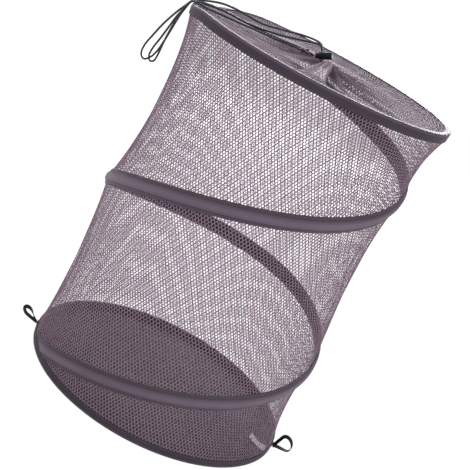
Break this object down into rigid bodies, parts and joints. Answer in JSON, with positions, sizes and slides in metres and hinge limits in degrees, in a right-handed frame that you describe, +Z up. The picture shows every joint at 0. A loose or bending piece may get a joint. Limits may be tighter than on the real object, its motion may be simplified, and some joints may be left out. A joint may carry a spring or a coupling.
{
  "type": "pop up laundry hamper",
  "caption": "Round mesh hamper that springs open on hoops and a spiral wire, with a gathered drawstring lid, a cord lock and elastic tie-down loops.",
  "frame": {"origin": "middle of the underside, on the surface the hamper stands on", "axes": "+Z up through the lid; the picture looks along +Y, with +X to its right, and the elastic loops lie near the X axis"},
  "size_m": [0.4467, 0.383, 0.5427],
  "materials": {
    "mesh_fabric": "knitted polyester net, hexagonal holes, mauve grey",
    "binding_tape": "smooth woven tape, dark mauve grey",
    "base_cloth": "plain woven polyester, dark mauve",
    "drawstring_cord": "braided round cord, black",
    "elastic_tape": "flat ribbed elastic, black",
    "lock_plastic": "moulded black plastic, satin",
    "spring_steel": "drawn spring wire",
    "tag_cloth": "plain pale satin tape, blank"
  },
  "bodies": {
    "base": {"bottom_binding": "binding_tape", "bottom_hoop_wire": "spring_steel", "bottom_hoop_ferrule": "spring_steel", "base_panel": "base_cloth", "side_mesh": "mesh_fabric", "spiral_casing": "binding_tape", "spiral_wire": "spring_steel", "spiral_lower_tip": "lock_plastic", "spiral_upper_tip": "lock_plastic", "right_loop_tack": "elastic_tape", "left_loop_tack": "elastic_tape", "blank_tag": "tag_cloth"},
    "top": {"top_binding": "binding_tape", "top_hoop_wire": "spring_steel", "top_hoop_ferrule": "spring_steel", "lid_mesh": "mesh_fabric", "drawstring_hem": "mesh_fabric", "drawstring_gathered_turn": "drawstring_cord", "drawstring_rear_tail": "drawstring_cord", "drawstring_rear_knot": "drawstring_cord", "drawstring_front_tail": "drawstring_cord", "drawstring_front_knot": "drawstring_cord"},
    "cord_lock": {"cord_lock_barrel": "lock_plastic", "cord_lock_spring": "spring_steel"},
    "lock_plunger": {"cord_lock_plunger": "lock_plastic"},
    "right_loop": {"right_elastic_loop": "elastic_tape"},
    "left_loop": {"left_elastic_loop": "elastic_tape"}
  },
  "joints": [
    {"name": "collapse", "type": "slide", "parent": "base", "child": "top", "axis": [0, 0, 1], "range_m": [-0.47, 0], "stiffness_N_per_m": 30, "springref_m": 0.2, "deforming": ["side_mesh", "spiral_casing", "spiral_wire", "spiral_lower_tip", "spiral_upper_tip", "drawstring_rear_tail", "drawstring_front_tail"]},
    {"name": "lock_slide", "type": "slide", "parent": "top", "child": "cord_lock", "axis": [-0.4384, 0, 0.8988], "range_m": [0, 0.004]},
    {"name": "plunger_press", "type": "slide", "parent": "cord_lock", "child": "lock_plunger", "axis": [0.8988, 0, 0.4384], "range_m": [0, 0.0035], "stiffness_N_per_m": 400, "springref_m": -0.003, "deforming": ["cord_lock_spring"]},
    {"name": "right_loop_swing", "type": "hinge", "parent": "base", "child": "right_loop", "pos_m": [0.19332, -0.01691, 0.0065], "axis": [-0.0872, -0.9962, 0], "range_deg": [-14, 48], "stiffness_Nm_per_rad": 0.002},
    {"name": "left_loop_swing", "type": "hinge", "parent": "base", "child": "left_loop", "pos_m": [-0.19261, -0.02365, 0.0065], "axis": [-0.1219, 0.9925, 0], "range_deg": [-14, 48], "stiffness_Nm_per_rad": 0.002}
  ]
}
